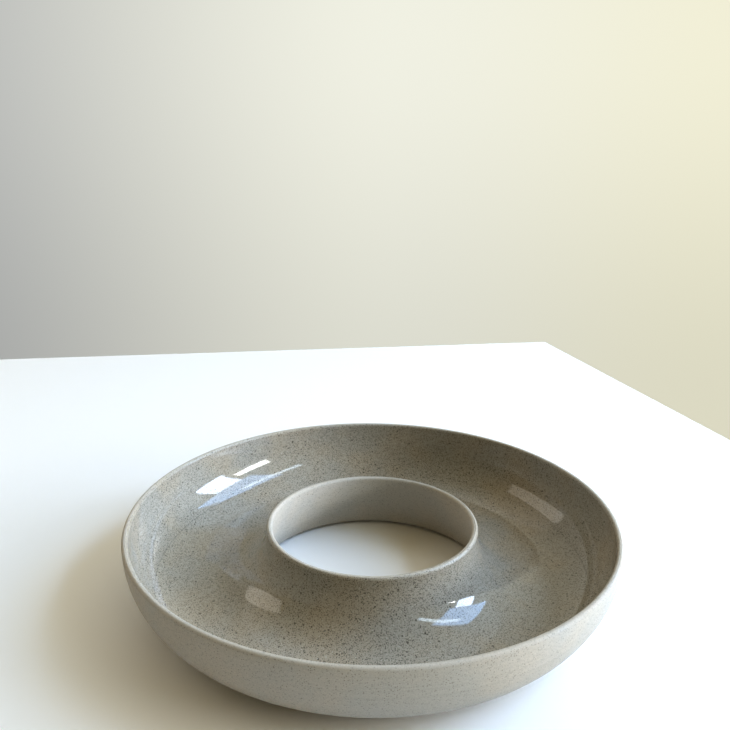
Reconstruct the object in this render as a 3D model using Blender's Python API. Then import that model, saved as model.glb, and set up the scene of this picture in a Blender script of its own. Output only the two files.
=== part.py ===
"""Chip and dip server: a ring-shaped stoneware dish, turned on a wheel from one piece of clay.

The chips lie in a round trough. A collar stands inside the trough, around a hole that goes right
through to the table. The trough is glazed, and the outside and the inside of the hole are bare clay.

Metres, +Z up. The origin is on the table, at the middle of the foot.
"""

import math

import bpy

# The outside of the dish
RIM_RADIUS = 0.145
RIM_HEIGHT = 0.0505
FOOT_RADIUS = 0.095
WALL_FULLNESS = 2.15  # 2 would be an ellipse, and more makes the wall stand up straighter

# The trough
FLOOR_RADIUS = 0.103  # where the floor is lowest
FLOOR_HEIGHT = 0.0075
TROUGH_FULLNESS = 2.35

# The collar and the hole inside it
COLLAR_RADIUS = 0.064
COLLAR_HEIGHT = 0.042
COLLAR_FULLNESS = 2.35
HOLE_FOOT_RADIUS = 0.073
HOLE_FLARE = 1.5  # the power by which the hole widens towards the table

# Walls, edges and glaze
LIP_THICKNESS = 0.0036
FOOT_ROUNDING = 0.0012
GLAZE_THICKNESS = 0.0005
GLAZE_GAP = 0.0003  # keeps the two solids from touching

# How finely the curves are divided
TURN_STEPS = 60
CURVE_STEPS = 11
LIP_STEPS = 3  # in a quarter of a lip's round edge
DRAFT_STEPS = 240  # in a bowl's curve before it is divided evenly

BARE_CLAY = (0.42, 0.38, 0.32)
GLAZED_CLAY = (0.24, 0.225, 0.185)


def clear_scene():
    for obj in list(bpy.data.objects):
        bpy.data.objects.remove(obj, do_unlink=True)


def evenly(points, count):
    """count + 1 points at equal distances along a line through points."""
    at = [0.0]
    for a, b in zip(points, points[1:]):
        at.append(at[-1] + math.dist(a, b))
    found = []
    k = 0
    for i in range(count + 1):
        want = at[-1] * i / count
        while k < len(at) - 2 and at[k + 1] < want:
            k += 1
        share = (want - at[k]) / (at[k + 1] - at[k])
        found.append(tuple(p + share * (q - p) for p, q in zip(points[k], points[k + 1])))
    return found


def bowl_curve(low_radius, low_height, top_radius, top_height, fullness):
    """A quarter of a superellipse, from its vertical top end down to its level bottom end."""
    points = []
    for i in range(DRAFT_STEPS + 1):
        angle = math.pi / 2 * i / DRAFT_STEPS
        across = math.cos(angle) ** (2 / fullness)
        down = math.sin(angle) ** (2 / fullness)
        radius = low_radius + (top_radius - low_radius) * across
        points.append((radius, top_height - (top_height - low_height) * down))
    return evenly(points, CURVE_STEPS)


def lip_arc(middle_radius, level):
    """The top half of a round lip, from its outer side over to its inner side."""
    half = LIP_THICKNESS / 2
    angles = [math.pi * i / (2 * LIP_STEPS) for i in range(2 * LIP_STEPS + 1)]
    return [(middle_radius + half * math.cos(a), level + half * math.sin(a)) for a in angles]


def hole_curve(level):
    """The inside of the hole, from under the collar's lip down to the foot's inner edge."""
    top_radius = COLLAR_RADIUS - LIP_THICKNESS
    points = []
    for i in range(1, CURVE_STEPS):
        depth = i / (CURVE_STEPS - 1)
        height = level + (FOOT_ROUNDING - level) * depth
        radius = top_radius + (HOLE_FOOT_RADIUS - top_radius) * depth**HOLE_FLARE
        points.append((radius, height))
    return points


def shift(points, distance):
    """points moved by distance to the right of the way they run, at right angles to it."""
    moved = []
    for i, (radius, height) in enumerate(points):
        before = points[max(i - 1, 0)]
        after = points[min(i + 1, len(points) - 1)]
        along = (after[0] - before[0], after[1] - before[1])
        length = math.hypot(*along)
        moved.append((radius + distance * along[1] / length, height - distance * along[0] / length))
    return moved


def turned(name, outline, material):
    """A ring: the closed outline turned once around Z. Its outer side runs from top to bottom."""
    mesh = bpy.data.meshes.new(name)
    verts = [(radius, 0.0, height) for radius, height in outline]
    edges = [(i, (i + 1) % len(verts)) for i in range(len(verts))]
    mesh.from_pydata(verts, edges, [])
    obj = bpy.data.objects.new(name, mesh)
    bpy.context.collection.objects.link(obj)
    screw = obj.modifiers.new("turn", "SCREW")
    screw.axis = "Z"
    screw.angle = 2 * math.pi
    screw.steps = screw.render_steps = TURN_STEPS
    screw.use_merge_vertices = True
    screw.merge_threshold = 0.00001
    screw.use_smooth_shade = True
    mesh.materials.append(material)
    return obj


def plain_material(name, colour, roughness):
    material = bpy.data.materials.new(name)
    material.use_nodes = True
    shader = material.node_tree.nodes["Principled BSDF"]
    shader.inputs["Base Color"].default_value = (*colour, 1.0)
    shader.inputs["Roughness"].default_value = roughness
    shader.inputs["Metallic"].default_value = 0.0
    return material


def dish_outlines():
    """The closed outlines of the clay body and of the glaze on it, as (radius, height) points."""
    half = LIP_THICKNESS / 2
    rim_level = RIM_HEIGHT - half
    collar_level = COLLAR_HEIGHT - half
    inside_rim = RIM_RADIUS - LIP_THICKNESS

    # The finished dish, glaze included
    outside = bowl_curve(FOOT_RADIUS, 0.0, RIM_RADIUS, rim_level, WALL_FULLNESS)
    rim_lip = lip_arc(RIM_RADIUS - half, rim_level)
    wall_side = bowl_curve(FLOOR_RADIUS, FLOOR_HEIGHT, inside_rim, rim_level, TROUGH_FULLNESS)
    collar_side = bowl_curve(FLOOR_RADIUS, FLOOR_HEIGHT, COLLAR_RADIUS, collar_level, COLLAR_FULLNESS)
    collar_lip = lip_arc(COLLAR_RADIUS - half, collar_level)

    # The glaze runs from the top of the rim's lip, through the trough, to the top of the collar's
    rim_top_inwards = rim_lip[LIP_STEPS:]
    collar_top_outwards = collar_lip[: LIP_STEPS + 1]
    trough = rim_top_inwards + wall_side[1:] + collar_side[-2::-1] + collar_top_outwards[1:]
    under_glaze = shift(trough, -GLAZE_THICKNESS)
    glaze = trough + under_glaze[::-1]

    # The clay runs under the glaze, over both lips, down the hole, across the foot and up outside
    clay_trough = shift(trough, -GLAZE_THICKNESS - GLAZE_GAP)
    clay_top = rim_lip[: LIP_STEPS + 1] + clay_trough + collar_lip[LIP_STEPS:]
    foot_inner_edge = [(HOLE_FOOT_RADIUS + FOOT_ROUNDING, 0.0)]
    body = clay_top + hole_curve(collar_level) + foot_inner_edge + outside[:0:-1]
    return body[::-1], glaze[::-1]


def main():
    clear_scene()
    body, glaze = dish_outlines()
    turned("stoneware_body", body, plain_material("bare_stoneware", BARE_CLAY, 0.85))
    turned("glaze_coat", glaze, plain_material("clear_glaze", GLAZED_CLAY, 0.12))


main()
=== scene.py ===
# %% [markdown]
# # A stoneware chip and dip ring
#
# The dish is one piece of speckled stoneware, thrown on a potter's wheel: a round trough for the
# chips, and a collar that stands round a hole in the middle. The potter glazed only the trough.
# The outside and the inside of the hole are bare clay.
#
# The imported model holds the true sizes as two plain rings, the clay and the glaze. This script
# measures those, draws both again with a fine surface, and gives them the finishes of fired clay.

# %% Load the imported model
import math

import bpy
import numpy as np
from mathutils import Matrix, Vector


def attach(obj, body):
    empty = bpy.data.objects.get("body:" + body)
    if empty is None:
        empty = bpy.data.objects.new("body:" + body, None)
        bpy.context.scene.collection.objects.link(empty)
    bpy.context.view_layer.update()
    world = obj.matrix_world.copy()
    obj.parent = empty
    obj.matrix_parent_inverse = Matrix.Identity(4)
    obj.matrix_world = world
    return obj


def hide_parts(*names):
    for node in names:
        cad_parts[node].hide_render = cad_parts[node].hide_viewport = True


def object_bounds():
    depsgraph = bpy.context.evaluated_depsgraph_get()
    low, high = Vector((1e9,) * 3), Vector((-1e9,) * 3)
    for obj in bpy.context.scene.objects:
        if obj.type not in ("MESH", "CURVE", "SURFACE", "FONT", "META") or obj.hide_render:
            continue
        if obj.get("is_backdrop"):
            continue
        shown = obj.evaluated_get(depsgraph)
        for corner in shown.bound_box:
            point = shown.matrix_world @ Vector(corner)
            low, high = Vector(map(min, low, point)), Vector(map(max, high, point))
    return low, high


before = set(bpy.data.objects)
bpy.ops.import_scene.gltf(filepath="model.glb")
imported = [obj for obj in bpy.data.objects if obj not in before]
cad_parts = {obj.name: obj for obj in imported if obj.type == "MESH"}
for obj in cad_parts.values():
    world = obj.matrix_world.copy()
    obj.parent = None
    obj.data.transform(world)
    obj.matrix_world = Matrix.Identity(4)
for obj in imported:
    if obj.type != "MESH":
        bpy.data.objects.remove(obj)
cad_box = [list(corner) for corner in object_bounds()]
MM = 0.001
print("nodes in the frame:", sorted(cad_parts))

# %% [markdown]
# ## Measure the pot
#
# A turned shape is known by its outline alone: how far each point is from the wheel's axis, and how
# high it is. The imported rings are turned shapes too, so each of their corners gives a radius and
# a height. A few of those are the sizes that the whole pot is drawn from.


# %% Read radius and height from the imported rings
def radii_and_heights(node):
    """The distance from the axis and the height of each corner of a packed ring."""
    corners = np.array([v.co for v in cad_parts[node].data.vertices])
    return np.hypot(corners[:, 0], corners[:, 1]), corners[:, 2]


clay_r, clay_z = radii_and_heights("stoneware_body")
glaze_r, glaze_z = radii_and_heights("glaze_coat")
TOUCHING = 0.01 * MM

RIM_RADIUS = clay_r.max()
RIM_HEIGHT = clay_z.max()
HALF_LIP = RIM_RADIUS - clay_r[clay_z > RIM_HEIGHT - TOUCHING].mean()
COLLAR_RADIUS = clay_r.min() + 2 * HALF_LIP
COLLAR_HEIGHT = glaze_z[glaze_r < COLLAR_RADIUS + HALF_LIP].max()
FOOT_RADIUS = clay_r[clay_z < TOUCHING].max()
HOLE_FOOT_RADIUS = clay_r[clay_z < TOUCHING].min()
FLOOR_RADIUS = glaze_r[glaze_z < glaze_z.min() + TOUCHING].mean()
FLOOR_HEIGHT = glaze_z[abs(glaze_r - FLOOR_RADIUS) < 1 * MM].max()
GLAZE_THICKNESS = FLOOR_HEIGHT - glaze_z.min()

print(f"rim {RIM_RADIUS / MM:.1f} mm out and {RIM_HEIGHT / MM:.1f} mm high")
print(f"collar {COLLAR_RADIUS / MM:.1f} mm out and {COLLAR_HEIGHT / MM:.1f} mm high")
print(f"foot from {HOLE_FOOT_RADIUS / MM:.1f} mm to {FOOT_RADIUS / MM:.1f} mm")
print(f"floor lowest at {FLOOR_RADIUS / MM:.1f} mm, {FLOOR_HEIGHT / MM:.2f} mm above the table")
print(f"lips {2 * HALF_LIP / MM:.2f} mm thick, glaze {GLAZE_THICKNESS / MM:.2f} mm thick")

# %% [markdown]
# ## Draw the outline
#
# A thrown wall isn't an arc of a circle. It rises steeply, and turns into the floor with a fuller
# bend, which a superellipse describes with one number: 2 is an ellipse, and more is boxier. The lips
# are half circles, because a potter rounds them with a strip of wet leather.
#
# Each curve is first worked out finely and then cut into steps of equal length, so that the surface
# gets even faces.


# %% Curves of the outline
def distance_along(points):
    """How far along a line through points each of them is."""
    steps = np.hypot(*np.diff(points, axis=0).T)
    return np.concatenate([[0.0], np.cumsum(steps)])


def evenly(points, count):
    """count + 1 points at equal distances along a line through points."""
    along = distance_along(points)
    wanted = np.linspace(0, along[-1], count + 1)
    return np.column_stack([np.interp(wanted, along, points[:, i]) for i in (0, 1)])


def bowl_curve(low, top, fullness, count):
    """A quarter of a superellipse, from its upright end at top to its level end at low."""
    angle = np.linspace(0, math.pi / 2, 2000)
    radius = low[0] + (top[0] - low[0]) * np.cos(angle).clip(0) ** (2 / fullness)
    height = top[1] - (top[1] - low[1]) * np.sin(angle) ** (2 / fullness)
    return evenly(np.column_stack([radius, height]), count)


def arc(centre, radius, start, end, count):
    """Part of a circle, from one angle in degrees to another."""
    angle = np.radians(np.linspace(start, end, count + 1))
    return np.column_stack([centre[0] + radius * np.cos(angle), centre[1] + radius * np.sin(angle)])


def sunk(points, depth):
    """Points moved by depth at right angles to their line, to the left of the way that it runs."""
    way = np.gradient(points, axis=0)
    way /= np.hypot(way[:, 0], way[:, 1])[:, None]
    left = np.column_stack([-way[:, 1], way[:, 0]])
    return points + left * np.reshape(depth, (-1, 1))


# %% [markdown]
# The surface that the chips lie on comes first, from the crest of the rim to the crest of the collar.
# Where the wall meets the floor, the potter's rib left a fine crease. It is finer than the faces are long, so
# the glaze's finish draws it, from how far along the outline it lies: as a small dent in the glass, with a
# thin line of painted shade along it where it shows.

# %% The trough's outline
WALL_FULLNESS = 2.15
TROUGH_FULLNESS = 2.35
COLLAR_FULLNESS = 2.35
WALL_STEPS = 64
LIP_STEPS = 9

rim_middle = (RIM_RADIUS - HALF_LIP, RIM_HEIGHT - HALF_LIP)
collar_middle = (COLLAR_RADIUS - HALF_LIP, COLLAR_HEIGHT - HALF_LIP)
floor_point = (FLOOR_RADIUS, FLOOR_HEIGHT)
inside_rim = (rim_middle[0] - HALF_LIP, rim_middle[1])
outside_collar = (collar_middle[0] + HALF_LIP, collar_middle[1])

trough = np.concatenate([
    arc(rim_middle, HALF_LIP, 90, 180, LIP_STEPS),
    bowl_curve(floor_point, inside_rim, TROUGH_FULLNESS, WALL_STEPS)[1:],
    bowl_curve(floor_point, outside_collar, COLLAR_FULLNESS, WALL_STEPS)[-2::-1],
    arc(collar_middle, HALF_LIP, 0, 90, LIP_STEPS)[1:],
])
trough_along = distance_along(trough)
from_crest = np.minimum(trough_along, trough_along[-1] - trough_along)

CREASE_RADIUS = 129.5 * MM
crease_along = np.interp(-CREASE_RADIUS, -trough[:WALL_STEPS, 0], trough_along[:WALL_STEPS])
print(f"the trough's surface is {trough_along[-1] / MM:.0f} mm from crest to crest")

# %% [markdown]
# The glaze thins to a film at both crests, where it was wiped off before the firing. The clay runs
# on below it, down the hole, over the foot and up the outside. The edge of the hole is trimmed to
# hang just clear of the table, which leaves a dark line of shadow under it.

# %% The closed outlines of clay and glaze
THINNING = 2.5 * MM
THINNEST = 0.06 * MM
SEAT = 0.02 * MM
HOLE_EDGE = 0.8 * MM
HOLE_LIFT = 2.0 * MM
UNDERCUT = 5 * MM
HOLE_FLARE = 1.5

glaze_depth = THINNEST + (GLAZE_THICKNESS - THINNEST) * np.clip(from_crest / THINNING, 0, 1)
under_glaze = sunk(trough, glaze_depth)[::3]
clay_bed = sunk(trough, glaze_depth + SEAT)[::3]

inside_collar = (collar_middle[0] - HALF_LIP, collar_middle[1])
hole_edge_middle = (HOLE_FOOT_RADIUS, HOLE_LIFT + HOLE_EDGE)
hole_end = (hole_edge_middle[0] - HOLE_EDGE, hole_edge_middle[1])
depth = np.linspace(0, 1, 41)
hole_wall = np.column_stack([
    inside_collar[0] + (hole_end[0] - inside_collar[0]) * depth**HOLE_FLARE,
    inside_collar[1] + (hole_end[1] - inside_collar[1]) * depth,
])
undercut_end = np.array([[HOLE_FOOT_RADIUS + UNDERCUT, 0.0]])
foot_middle = np.array([[(HOLE_FOOT_RADIUS + FOOT_RADIUS) / 2, 0.0]])
outside = bowl_curve((FOOT_RADIUS, 0.0), (RIM_RADIUS, rim_middle[1]), WALL_FULLNESS, 70)[::-1]
print(f"the outside is {distance_along(outside)[-1] / MM:.0f} mm from foot to rim")

# %% [markdown]
# Beside its place, each point of an outline keeps four numbers, which the shape's rule and the
# finishes read later: how far along the outline it is, how far from the nearest crest, how strongly
# the potter's fingers marked it, and where it goes in the map that finishes are baked to. A hidden
# stretch gets little room in that map.

# %% Outlines as meshes that carry their numbers
FADE = 9 * MM


def smooth_step(share):
    share = np.clip(share, 0, 1)
    return share * share * (3 - 2 * share)


def outline_mesh(name, stretches, crests):
    """A closed outline from stretches of (points, finger marks 0 to 1, room in the map 0 to 1)."""
    points = np.concatenate([s[0] for s in stretches])
    along = distance_along(points)
    room = np.concatenate([np.full(len(s[0]), s[2]) for s in stretches])
    marks = []
    for own, strength, _ in stretches:
        own_along = distance_along(own)
        to_end = np.minimum(own_along, own_along[-1] - own_along)
        marks.append(strength * smooth_step(to_end / FADE))
    mapped = np.concatenate([[0.0], np.cumsum(np.diff(along) * room[1:])])
    to_crest = np.min([np.hypot(*(points - c).T) for c in crests], axis=0)

    mesh = bpy.data.meshes.new(name)
    edges = [(i, i + 1) for i in range(len(points) - 1)]
    mesh.from_pydata([(r, 0.0, z) for r, z in points], edges, [])
    numbers = {"along": along, "from_crest": to_crest, "marks": np.concatenate(marks),
               "map_row": mapped / mapped[-1]}
    for key, values in numbers.items():
        mesh.attributes.new(key, "FLOAT", "POINT").data.foreach_set("value", values.astype(np.float32))
    print(f"{name}: {len(points)} points, {along[-1] / MM:.0f} mm round")
    return mesh


crests = [trough[0], trough[-1]]
clay_outline = outline_mesh("clay_outline", [
    (foot_middle, 0.0, 1.0),
    (outside, 1.0, 1.0),
    (arc(rim_middle, HALF_LIP, 0, 90, LIP_STEPS)[1:], 0.0, 1.0),
    (clay_bed, 0.0, 0.1),
    (arc(collar_middle, HALF_LIP, 90, 180, LIP_STEPS)[1:], 0.0, 1.0),
    (hole_wall[1:], 0.5, 1.0),
    (arc(hole_edge_middle, HOLE_EDGE, 180, 270, 5)[1:], 0.0, 1.0),
    (undercut_end, 0.0, 1.0),
    (foot_middle, 0.0, 1.0),
], crests)
glaze_outline = outline_mesh("glaze_outline", [
    (trough, 0.6, 1.0),
    (under_glaze[::-1], 0.0, 0.1),
    (trough[:1], 0.0, 0.1),
], crests)

# %% [markdown]
# ## Numbers that Python can add and multiply
#
# A shape's rule and a material are both trees of nodes. Written by hand, each sum takes three lines.
# This small class wraps a node's output, so that an expression such as `1 - mask` adds the Math
# nodes itself. Every other node comes from one method, which sets the node's own settings first and
# then fills its sockets with values or links.


# %% A number in a node tree
class Number:
    """One output of a node. Python's operators on it add Math nodes to its tree."""

    def __init__(self, recipe, socket):
        self.recipe = recipe
        self.socket = socket

    def out(self, name):
        """Another output of the same node."""
        return Number(self.recipe, self.socket.node.outputs[name])

    def __add__(self, other):
        return self.recipe.maths("ADD", self, other)

    __radd__ = __add__

    def __sub__(self, other):
        return self.recipe.maths("SUBTRACT", self, other)

    def __rsub__(self, other):
        return self.recipe.maths("SUBTRACT", other, self)

    def __mul__(self, other):
        return self.recipe.maths("MULTIPLY", self, other)

    __rmul__ = __mul__

    def __truediv__(self, other):
        return self.recipe.maths("DIVIDE", self, other)

    def __rtruediv__(self, other):
        return self.recipe.maths("DIVIDE", other, self)

    def __lt__(self, other):
        return self.recipe.maths("LESS_THAN", self, other)


class Recipe:
    """A node tree that is being written."""

    def __init__(self, tree):
        self.tree = tree

    def add(self, kind, settings=None, sockets=None, out=0):
        """Adds a node, sets it, fills its sockets and gives one of its outputs."""
        node = self.tree.nodes.new(kind)
        for name, value in (settings or {}).items():
            setattr(node, name, value)
        for name, value in (sockets or {}).items():
            if isinstance(value, Number):
                self.tree.links.new(value.socket, node.inputs[name])
            else:
                node.inputs[name].default_value = value
        return Number(self, node.outputs[out] if len(node.outputs) else None)

    def maths(self, operation, *values):
        return self.add("ShaderNodeMath", {"operation": operation}, dict(enumerate(values)))

    def clamp(self, value):
        return self.add("ShaderNodeClamp", None, {"Value": value})

    def smooth(self, value, start, end):
        """0 below start and 1 above end, with a soft change between them."""
        sockets = {"Value": value, "From Min": start, "From Max": end}
        return self.add("ShaderNodeMapRange", {"interpolation_type": "SMOOTHSTEP"}, sockets)


# %% [markdown]
# ## The wheel: a rule that turns an outline into a pot
#
# A Screw modifier could turn the outline too. Geometry Nodes do it here because a thrown pot has
# more to its rule: it is a little out of round, the potter's fingers leave one spiral groove up the
# wall, and the clay is never quite even. The rule is a grid with one column for each step round and
# one row for each point of the outline, bent round the axis. One turn of the grid moves the spiral's
# phase by exactly one groove, so it closes on itself.

# %% The shape's rule
wheel = bpy.data.node_groups.new("wheel", "GeometryNodeTree")
wheel.interface.new_socket(name="Geometry", in_out="OUTPUT", socket_type="NodeSocketGeometry")
WHEEL_INPUTS = (
    ("Outline", "NodeSocketGeometry"),
    ("Steps round", "NodeSocketInt"),
    ("Out of round", "NodeSocketFloat"),
    ("Longest across", "NodeSocketFloat"),
    ("Groove depth", "NodeSocketFloat"),
    ("Groove pitch", "NodeSocketFloat"),
    ("Unevenness", "NodeSocketFloat"),
    ("Unevenness size", "NodeSocketFloat"),
    ("Seed", "NodeSocketInt"),
    ("Finish", "NodeSocketMaterial"),
)
for name, kind in WHEEL_INPUTS:
    wheel.interface.new_socket(name=name, in_out="INPUT", socket_type=kind)

turn = Recipe(wheel)
given = turn.add("NodeGroupInput")
rows = turn.add("GeometryNodeAttributeDomainSize", {"component": "MESH"},
                {"Geometry": given.out("Outline")}, "Point Count")
grid = turn.add("GeometryNodeMeshGrid", None, {
    "Size X": 2 * math.pi, "Size Y": rows - 1,
    "Vertices X": given.out("Steps round") + 1, "Vertices Y": rows,
})
on_grid = turn.add("ShaderNodeSeparateXYZ", None, {"Vector": turn.add("GeometryNodeInputPosition")})
round_angle = on_grid.out("X")
row = turn.maths("ROUND", on_grid.out("Y") + (rows - 1) / 2)


def from_outline(value, data_type="FLOAT"):
    """What the outline's point of this row holds."""
    return turn.add("GeometryNodeSampleIndex", {"data_type": data_type},
                    {"Geometry": given.out("Outline"), "Value": value, "Index": row})


def named(key):
    return turn.add("GeometryNodeInputNamedAttribute", {"data_type": "FLOAT"}, {"Name": key})


outline_place = from_outline(turn.add("GeometryNodeInputPosition"), "FLOAT_VECTOR")
outline_place = turn.add("ShaderNodeSeparateXYZ", None, {"Vector": outline_place})
stretch = turn.maths("COSINE", 2 * (round_angle - given.out("Longest across")))
radius = outline_place.out("X") * (1 + given.out("Out of round") * stretch)
place = turn.add("ShaderNodeCombineXYZ", None, {
    "X": radius * turn.maths("COSINE", round_angle),
    "Y": radius * turn.maths("SINE", round_angle),
    "Z": outline_place.out("Z"),
})
print("inputs of the wheel:", ", ".join(name for name, _ in WHEEL_INPUTS))

# %% [markdown]
# The map for baking is laid out on the flat grid, before it is bent. A ring's surface is about
# four times as long as it is wide, so the map has the ring's two halves one above the other. Only
# then are the grid's edges joined, which closes both seams, and only on the closed surface do the
# spiral groove and the unevenness push points along their normals.

# %% The map, the closing of the seams and the potter's marks
MAP_EDGE = 0.006
face_middle = turn.add("GeometryNodeFieldOnDomain", {"data_type": "FLOAT", "domain": "FACE"},
                       {"Value": round_angle})
second_half = 1 - (face_middle < 0)
across_half = round_angle / math.pi + 1 - second_half
map_row = from_outline(named("map_row"))
bake_place = turn.add("ShaderNodeCombineXYZ", None, {
    "X": MAP_EDGE + across_half * (1 - 2 * MAP_EDGE),
    "Y": (second_half + MAP_EDGE + map_row * (1 - 2 * MAP_EDGE)) / 2,
})
shape = turn.add("GeometryNodeStoreNamedAttribute", {"data_type": "FLOAT2", "domain": "CORNER"},
                 {"Geometry": grid, "Name": "OFBake", "Value": bake_place})
for key in ("along", "from_crest", "marks"):
    shape = turn.add("GeometryNodeStoreNamedAttribute", {"data_type": "FLOAT", "domain": "POINT"},
                     {"Geometry": shape, "Name": key, "Value": from_outline(named(key))})
shape = turn.add("GeometryNodeSetPosition", None, {"Geometry": shape, "Position": place})
shape = turn.add("GeometryNodeMergeByDistance", None, {"Geometry": shape, "Distance": 0.001 * MM})

position = turn.add("GeometryNodeInputPosition")
flat = turn.add("ShaderNodeSeparateXYZ", None, {"Vector": position})
direction = turn.maths("ARCTAN2", flat.out("Y"), flat.out("X"))
groove = turn.maths("SINE", named("along") / given.out("Groove pitch") * (2 * math.pi) + direction)
shifted = turn.add("ShaderNodeVectorMath", {"operation": "ADD"}, {
    0: position,
    1: turn.add("ShaderNodeCombineXYZ", None, {"X": given.out("Seed") * 1.0}),
})
uneven = turn.add("ShaderNodeTexNoise", None, {
    "Vector": shifted, "Scale": 1 / given.out("Unevenness size"), "Detail": 1.0,
})
push = named("marks") * (
    given.out("Groove depth") / 2 * groove + given.out("Unevenness") * (uneven - 0.5)
)
offset = turn.add("ShaderNodeVectorMath", {"operation": "SCALE"},
                  {0: turn.add("GeometryNodeInputNormal"), "Scale": push})
shape = turn.add("GeometryNodeSetPosition", None, {"Geometry": shape, "Offset": offset})
shape = turn.add("GeometryNodeSetShadeSmooth", None, {"Geometry": shape, "Shade Smooth": True})
shape = turn.add("GeometryNodeRealizeInstances", None, {"Geometry": shape})
shape = turn.add("GeometryNodeSetMaterial", None, {"Geometry": shape, "Material": given.out("Finish")})
turn.add("NodeGroupOutput", None, {"Geometry": shape})
print("nodes in the wheel's rule:", len(wheel.nodes))

# %% [markdown]
# ## Stoneware, bare and glazed
#
# The clay is one speckled body, and both finishes start from it. Iron in the clay burns out in small
# dark specks of different sizes. A Voronoi texture scatters one point in each of its cells, and also
# gives each cell random numbers, so a speck is drawn where the distance to that point is less than
# the speck's own random size. In bare clay the specks lie half hidden in a chalky surface. Under the
# clear glaze the same clay looks wetter and darker, and its specks stand out.


# %% Specks, and the start of a material
def new_finish(name):
    material = bpy.data.materials.new(name)
    material.use_nodes = True
    material.node_tree.nodes.clear()
    return material, Recipe(material.node_tree)


def object_place(recipe):
    return recipe.add("ShaderNodeTexCoord", out="Object")


def attribute(recipe, key):
    return recipe.add("ShaderNodeAttribute", {"attribute_name": key}, out="Fac")


def noise(recipe, size, detail=2.0, roughness=0.5):
    """Soft noise from 0 to 1 with lumps of about that size in metres."""
    return recipe.add("ShaderNodeTexNoise", None, {
        "Vector": object_place(recipe), "Scale": 1 / size, "Detail": detail, "Roughness": roughness,
    })


def specks(recipe, spacing, smallest, largest, share, soft):
    """1 on specks and 0 between them. Spacing and radii are in metres, and share is of the cells."""
    cell = recipe.add("ShaderNodeTexVoronoi", None, {"Vector": object_place(recipe), "Scale": 1 / spacing})
    chance = recipe.add("ShaderNodeSeparateColor", None, {"Color": cell.out("Color")})
    reach = smallest + (largest - smallest) * chance.out("Red")
    inside = recipe.clamp((reach - cell * spacing) / soft)
    return inside * (chance.out("Green") < share)


def mixed(recipe, share, first, second):
    """A colour between two colours. Mix has one socket for each kind of value, so they go by number."""
    settings = {"data_type": "RGBA"}
    sockets = {0: share}
    for number, colour in ((6, first), (7, second)):
        sockets[number] = colour if isinstance(colour, Number) else (*colour, 1.0)
    return recipe.add("ShaderNodeMix", settings, sockets, 2)


def shaded(recipe, colour, factor):
    """A colour made lighter or darker by a number."""
    return recipe.add("ShaderNodeVectorMath", {"operation": "SCALE"}, {0: colour, "Scale": factor})


# %% [markdown]
# Bare stoneware is matte and slightly chalky. It has a fine tooth of sand grains, a slow drift
# between warmer and greyer patches from the kiln, and faint bands along which the wheel smeared the
# wet clay. The lips are a little paler, where the sponge washed the fine clay to the top.

# %% Finish of the bare clay
BARE_WARM = (0.48, 0.435, 0.365)
BARE_GREY = (0.44, 0.42, 0.375)
BARE_LIP = (0.60, 0.57, 0.50)
IRON = (0.11, 0.09, 0.07)

bare_clay, clay = new_finish("bare_stoneware_clay")
drift = clay.smooth(noise(clay, 45 * MM), 0.35, 0.65)
grain = noise(clay, 0.55 * MM, 3.0, 0.7)
bands = clay.add("ShaderNodeTexNoise", {"noise_dimensions": "1D"},
                 {"W": attribute(clay, "along"), "Scale": 1 / (2.2 * MM), "Detail": 2.0})
colour = mixed(clay, drift, BARE_WARM, BARE_GREY)
lip = 1 - clay.smooth(attribute(clay, "from_crest"), 0.5 * MM, 2.0 * MM)
colour = mixed(clay, lip * 0.2, colour, BARE_LIP)
colour = shaded(clay, colour, 0.60 + 0.70 * grain + 0.10 * bands)
fine_specks = specks(clay, 0.9 * MM, 0.16 * MM, 0.42 * MM, 0.8, 0.16 * MM)
colour = mixed(clay, fine_specks * (0.45 - 0.25 * lip), colour, IRON)
coarse_specks = specks(clay, 4.0 * MM, 0.2 * MM, 0.6 * MM, 0.5, 0.14 * MM)
colour = mixed(clay, coarse_specks * (0.4 - 0.3 * lip), colour, IRON)
tooth = clay.add("ShaderNodeBump", None,
                 {"Strength": 0.35, "Distance": 0.12 * MM, "Height": grain + 0.3 * bands})
shader = clay.add("ShaderNodeBsdfPrincipled", None, {
    "Base Color": colour, "Roughness": 0.72 + 0.2 * grain, "Normal": tooth,
})
clay.add("ShaderNodeOutputMaterial", None, {"Surface": shader})
print("nodes in the bare clay:", len(bare_clay.node_tree.nodes))

# %% [markdown]
# A clear glaze has no colour of its own to speak of. It is a smooth sheet of glass, so what shows is
# the clay below, and what shines is the glass. Cycles could trace light through a real layer, but a
# rough clay right under it looks the same as one dielectric surface: the Principled shader's diffuse
# part is the wet clay and its specular part is the glass. The surface of the glass is a little wavy,
# with pinholes over the largest specks. At the crests it thins out over pale clay.

# %% Finish of the glazed clay
WET_WARM = (0.405, 0.36, 0.285)
WET_GREY = (0.375, 0.355, 0.305)
WET_LIP = (0.58, 0.55, 0.49)
WET_IRON = (0.05, 0.04, 0.028)
PALE_FLECK_AND_GLINT = (0.66, 0.64, 0.58)
CREASE_WIDTH = 0.6 * MM

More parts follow.
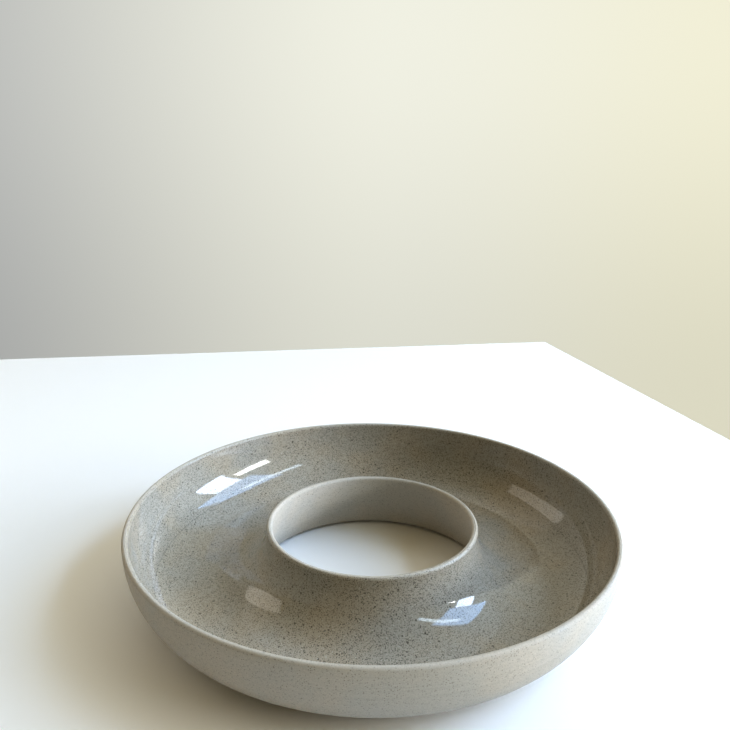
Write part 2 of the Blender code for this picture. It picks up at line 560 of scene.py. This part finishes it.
clear_glaze, glaze = new_finish("clear_glaze_over_speckled_clay")
drift = glaze.smooth(noise(glaze, 38 * MM), 0.35, 0.65)
grain = noise(glaze, 0.5 * MM, 3.0, 0.7)
colour = mixed(glaze, drift, WET_WARM, WET_GREY)
colour = shaded(glaze, colour, 0.4 + 1.2 * grain)
pepper = specks(glaze, 0.64 * MM, 0.14 * MM, 0.37 * MM, 0.9, 0.11 * MM)
colour = mixed(glaze, pepper * 0.75, colour, WET_IRON)
iron_spots = specks(glaze, 2.4 * MM, 0.28 * MM, 0.65 * MM, 0.55, 0.12 * MM)
colour = mixed(glaze, iron_spots * 0.75, colour, WET_IRON)
# Pale flecks: partly lighter grains of the clay, partly painted glints from tiny pits in the glaze.
pale_flecks_and_glints = specks(glaze, 1.5 * MM, 0.12 * MM, 0.34 * MM, 0.6, 0.1 * MM)
colour = mixed(glaze, pale_flecks_and_glints * 0.6, colour, PALE_FLECK_AND_GLINT)
thin_glaze = 1 - glaze.smooth(attribute(glaze, "from_crest"), 1.5 * MM, 4.0 * MM)
lip = 1 - glaze.smooth(attribute(glaze, "from_crest") + noise(glaze, 7 * MM) * (0.8 * MM), 0.7 * MM, 1.9 * MM)
colour = mixed(glaze, lip * 0.5, colour, WET_LIP)
off_crease = glaze.maths("ABSOLUTE", attribute(glaze, "along") - crease_along)
crease_shows = glaze.smooth(noise(glaze, 60 * MM, 0.0), 0.35, 0.6)
crease_dent_and_shade = (1 - glaze.smooth(off_crease, 0.0, CREASE_WIDTH)) * crease_shows
# Painted shade: the glaze's colour is darkened along the crease, where it shows.
colour = shaded(glaze, colour, 1 - 0.2 * crease_dent_and_shade)
sheet_of_glass = noise(glaze, 9 * MM, 1.0) - 0.012 * iron_spots - 1.5 * crease_dent_and_shade
wave = glaze.add("ShaderNodeBump", None,
                 {"Strength": 1.0, "Distance": 0.012 * MM, "Height": sheet_of_glass})
shader = glaze.add("ShaderNodeBsdfPrincipled", None, {
    "Base Color": colour, "Roughness": 0.06 + 0.35 * thin_glaze, "Normal": wave, "IOR": 1.5,
})
glaze.add("ShaderNodeOutputMaterial", None, {"Surface": shader})
print("nodes in the glaze:", len(clear_glaze.node_tree.nodes))

# %% [markdown]
# ## Turn both pieces
#
# The outline object gets the rule as a modifier. Its result is read off as a plain mesh, and the
# outline object is removed, so each finished piece is a mesh of its own, at the origin. Clay and
# glaze get the same roundness and the same seed, since the glaze follows the clay.


# %% One turned piece
def turned(name, outline, **values):
    """The piece that the wheel's rule makes from an outline."""
    blank = bpy.data.objects.new(name + "_blank", outline)
    bpy.context.scene.collection.objects.link(blank)
    rule = blank.modifiers.new("wheel", "NODES")
    rule.node_group = wheel
    for item in wheel.interface.items_tree:
        if item.in_out == "INPUT" and item.name in values:
            rule[item.identifier] = values[item.name]
    bpy.context.view_layer.update()
    seen = bpy.context.evaluated_depsgraph_get()
    mesh = bpy.data.meshes.new_from_object(blank.evaluated_get(seen))
    mesh.name = name
    bpy.data.objects.remove(blank)
    bpy.data.meshes.remove(outline)
    piece = bpy.data.objects.new(name, mesh)
    bpy.context.scene.collection.objects.link(piece)
    return piece


# %% [markdown]
# The potter's fingers left grooves a few millimetres apart, so shallow that they only show where
# light grazes the wall. The pot dried a fraction of a millimetre out of round.

# %% Clay and glaze
ROUND_STEPS = 400
pot = {
    "Steps round": ROUND_STEPS,
    "Out of round": 0.0025,
    "Longest across": math.radians(20),
    "Unevenness": 0.05 * MM,
    "Unevenness size": 45 * MM,
    "Seed": 4,
}
body = turned("thrown_stoneware_dish", clay_outline, Finish=bare_clay,
              **{"Groove depth": 0.10 * MM, "Groove pitch": 5.5 * MM}, **pot)
coat = turned("clear_glaze_in_trough", glaze_outline, Finish=clear_glaze,
              **{"Groove depth": 0.01 * MM, "Groove pitch": 7.5 * MM}, **pot)


def report(piece):
    """Prints a piece's triangles, its volume and how many of its edges don't have two faces."""
    mesh = piece.data
    mesh.calc_loop_triangles()
    corners = np.array([v.co for v in mesh.vertices])
    tri = np.array([t.vertices for t in mesh.loop_triangles])
    a, b, c = corners[tri[:, 0]], corners[tri[:, 1]], corners[tri[:, 2]]
    volume = np.einsum("ij,ij->i", a, np.cross(b, c)).sum() / 6
    ends = np.sort(np.concatenate([tri[:, [0, 1]], tri[:, [1, 2]], tri[:, [2, 0]]]), axis=1)
    uses = np.unique(ends, axis=0, return_counts=True)[1]
    print(f"{piece.name}: {len(tri)} triangles, {volume * 1e6:.1f} ml, {(uses != 2).sum()} open edges")


for piece in (body, coat):
    report(piece)

# %% [markdown]
# ## Join the pieces to the frame
#
# Both pieces ride on the model's one body. Each stands for its own packed ring, which stays hidden.

# %% Ride and replace
for piece, node, slot in ((body, "stoneware_body", "bare_stoneware"), (coat, "glaze_coat", "clear_glaze")):
    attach(piece, "root")
    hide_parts(node)
    print(piece.name, "stands for", node)

# %% [markdown]
# ## A pale table and plain soft light
#
# The dish stands near the corner of a plain pale table, and a plain wall is far behind it. A wall out of
# focus is a smooth change of brightness, so this one glows by itself, with painted light: dim and cool at the
# left, brighter and warmer towards the right, where the window is, and a little darker towards its foot.


# %% Table and wall
def plain_sheet(name, corners, material):
    """One flat face of the room."""
    mesh = bpy.data.meshes.new(name)
    mesh.from_pydata(corners, [], [range(len(corners))])
    sheet = bpy.data.objects.new(name, mesh)
    bpy.context.scene.collection.objects.link(sheet)
    mesh.materials.append(material)
    sheet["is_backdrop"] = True
    return sheet


TABLE_CORNER = (0.243, 0.611)
TABLE_LEFT_BACK = (-2.0, 0.225)
TABLE_RIGHT_FRONT = (1.44, -4.12)
TABLE_WHITE = (0.87, 0.87, 0.86)
WALL_DISTANCE = 2.4
WALL_HALF_WIDTH = 4.0
WALL_FOOT, WALL_TOP = -1.5, 2.6
WALL_LEFT = (0.52, 0.53, 0.53)
WALL_MIDDLE = (0.90, 0.90, 0.81)
WALL_RIGHT = (0.91, 0.89, 0.73)

paint, recipe = new_finish("table_paint")
shader = recipe.add("ShaderNodeBsdfPrincipled", None, {"Base Color": (*TABLE_WHITE, 1.0), "Roughness": 0.5})
recipe.add("ShaderNodeOutputMaterial", None, {"Surface": shader})
plain_sheet("table_top", [
    (*TABLE_CORNER, 0.0), (*TABLE_LEFT_BACK, 0.0),
    (TABLE_LEFT_BACK[0], TABLE_RIGHT_FRONT[1], 0.0), (*TABLE_RIGHT_FRONT, 0.0),
], paint)

glow, recipe = new_finish("wall_painted_light")
# Painted light: the wall's glow grows brighter towards the window at the right and a little darker towards
# its foot.
across = recipe.add("ShaderNodeSeparateXYZ", None, {"Vector": object_place(recipe)})
colour = mixed(recipe, recipe.smooth(across, -2.0, 0.1), WALL_LEFT, WALL_MIDDLE)
colour = mixed(recipe, recipe.smooth(across, 0.0, 1.4), colour, WALL_RIGHT)
colour = shaded(recipe, colour, 0.84 + 0.16 * recipe.smooth(across.out("Z"), -0.7, 0.7))
shader = recipe.add("ShaderNodeBsdfPrincipled", None, {
    "Base Color": (0.0, 0.0, 0.0, 1.0), "Roughness": 1.0, "Specular IOR Level": 0.0,
    "Emission Color": colour, "Emission Strength": 1.0,
})
recipe.add("ShaderNodeOutputMaterial", None, {"Surface": shader})
plain_sheet("back_wall", [
    (-WALL_HALF_WIDTH, WALL_DISTANCE, WALL_FOOT), (WALL_HALF_WIDTH, WALL_DISTANCE, WALL_FOOT),
    (WALL_HALF_WIDTH, WALL_DISTANCE, WALL_TOP), (-WALL_HALF_WIDTH, WALL_DISTANCE, WALL_TOP),
], glow)
print("table corner at", TABLE_CORNER)

# %% [markdown]
# A tall window at the right gives nearly all the light. One upright bar and one level bar divide it
# into four panes: the lower two look out on something white and bright, the upper two on blue sky.
# The rest of the room answers with a faint panel at the left and a soft glow that depends on the
# direction: most from behind the table, less from the window's side, and little from above.


# %% Lights
def pane(name, way, distance, along, height, colour, radiance):
    """A flat upright light that faces the dish's axis, on a wall that is square to one direction.

    along and height are its edges on that wall. Its power comes from how bright it looks.
    """
    light = bpy.data.lights.new(name, "AREA")
    light.shape = "RECTANGLE"
    light.size = along[1] - along[0]
    light.size_y = height[1] - height[0]
    light.color = colour
    light.energy = radiance * math.pi * light.size * light.size_y
    outwards = Vector((math.cos(way), math.sin(way), 0.0))
    sideways = Vector((-math.sin(way), math.cos(way), 0.0))
    lamp = bpy.data.objects.new(name, light)
    lamp.location = outwards * distance + sideways * sum(along) / 2 + Vector((0.0, 0.0, sum(height) / 2))
    lamp.rotation_euler = (-outwards).to_track_quat("-Z", "Z").to_euler()
    bpy.context.scene.collection.objects.link(lamp)
    return lamp


WINDOW_WAY = math.radians(-15)
WINDOW_DISTANCE = 1.8
BAR = 0.09
FRONT_EDGE, UPRIGHT_BAR, BACK_EDGE = -0.22, 0.08, 1.40
SILL, LEVEL_BAR, TOP = 0.16, 0.90, 2.75
PANES = (
    ("lower_front", (1.0, 1.0, 0.98), 28.0),
    ("lower_back", (0.62, 0.75, 1.0), 21.0),
    ("upper_front", (0.70, 0.86, 1.0), 11.0),
    ("upper_back", (0.34, 0.58, 1.0), 8.5),
)
for name, colour, radiance in PANES:
    is_lower, is_front = "lower" in name, "front" in name
    height = (SILL, LEVEL_BAR - BAR / 2) if is_lower else (LEVEL_BAR + BAR / 2, TOP)
    along = (FRONT_EDGE, UPRIGHT_BAR - BAR / 2) if is_front else (UPRIGHT_BAR + BAR / 2, BACK_EDGE)
    pane(name + "_pane", WINDOW_WAY, WINDOW_DISTANCE, along, height, colour, radiance)

LEFT_PANEL_WAY = math.radians(160)
LEFT_PANEL_DISTANCE = 1.3
LEFT_PANEL_ACROSS = (-0.31, 0.31)
LEFT_PANEL_HEIGHT = (0.33, 1.25)
LEFT_PANEL_COLOUR = (1.0, 0.95, 0.88)
LEFT_PANEL_RADIANCE = 1.8
pane("left_panel", LEFT_PANEL_WAY, LEFT_PANEL_DISTANCE, LEFT_PANEL_ACROSS, LEFT_PANEL_HEIGHT,
     LEFT_PANEL_COLOUR, LEFT_PANEL_RADIANCE)

GLOW_EVERYWHERE = 0.04
VIEW_GAMMA = 0.8  # below 1 deepens the shadows a little
GLOW_FROM = {"X": (0.68, 0.67, 0.49), "Y": (1.36, 1.54, 1.70), "Z": (0.40, 0.30, 0.12)}
surround = bpy.data.worlds.new("surround")
surround.use_nodes = True
surround.node_tree.nodes.clear()
room = Recipe(surround.node_tree)
way = room.add("ShaderNodeSeparateXYZ", None, {"Vector": room.add("ShaderNodeTexCoord", out="Generated")})
colour = room.add("ShaderNodeCombineXYZ", None, dict.fromkeys("XYZ", GLOW_EVERYWHERE))
for axis, glow_colour in GLOW_FROM.items():
    share = room.maths("MAXIMUM", way.out(axis), 0.0)
    colour = room.add("ShaderNodeVectorMath", {"operation": "ADD"},
                      {0: colour, 1: shaded(room, glow_colour, share)})
background = room.add("ShaderNodeBackground", None, {"Color": colour})
room.add("ShaderNodeOutputWorld", None, {"Surface": background})
bpy.context.scene.world = surround
bpy.context.scene.view_settings.view_transform = "Standard"
bpy.context.scene.view_settings.gamma = VIEW_GAMMA
print("lights:", len(bpy.data.lights))

# %% [markdown]
# ## Camera
#
# A phone held close above the table's edge looks down on the dish. Its wide lens makes the front of
# the rim look much wider than the back. The lens is as long as the sensor is wide.

# %% Camera
CAMERA_BACK = 0.4016
CAMERA_HEIGHT = 0.2574
CAMERA_YAW = -0.0129
CAMERA_PITCH = 0.2834
CAMERA_ROLL = 0.00857
SENSOR = 36.0

forward = Vector((
    math.sin(CAMERA_YAW) * math.cos(CAMERA_PITCH),
    math.cos(CAMERA_YAW) * math.cos(CAMERA_PITCH),
    -math.sin(CAMERA_PITCH),
))
level_right = Vector((math.cos(CAMERA_YAW), -math.sin(CAMERA_YAW), 0.0))
level_up = level_right.cross(forward)
right = math.cos(CAMERA_ROLL) * level_right + math.sin(CAMERA_ROLL) * level_up
up = math.cos(CAMERA_ROLL) * level_up - math.sin(CAMERA_ROLL) * level_right

lens = bpy.data.cameras.new("camera")
lens.sensor_width = SENSOR
lens.lens = SENSOR
camera = bpy.data.objects.new("camera", lens)
camera.matrix_world = (
    Matrix.Translation((0.0, -CAMERA_BACK, CAMERA_HEIGHT))
    @ Matrix((right, up, -forward)).transposed().to_4x4()
)
bpy.context.scene.collection.objects.link(camera)
bpy.context.scene.camera = camera
print(f"camera {CAMERA_BACK * 100:.0f} cm in front and {CAMERA_HEIGHT * 100:.0f} cm up")

# %% [markdown]
# ## Compare the sizes

# %% Sizes
new_box = [list(corner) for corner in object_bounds()]
for name, box in (("packed", cad_box), ("drawn", new_box)):
    print(name, "size in mm:", [round((high - low) / MM, 1) for low, high in zip(*box)])
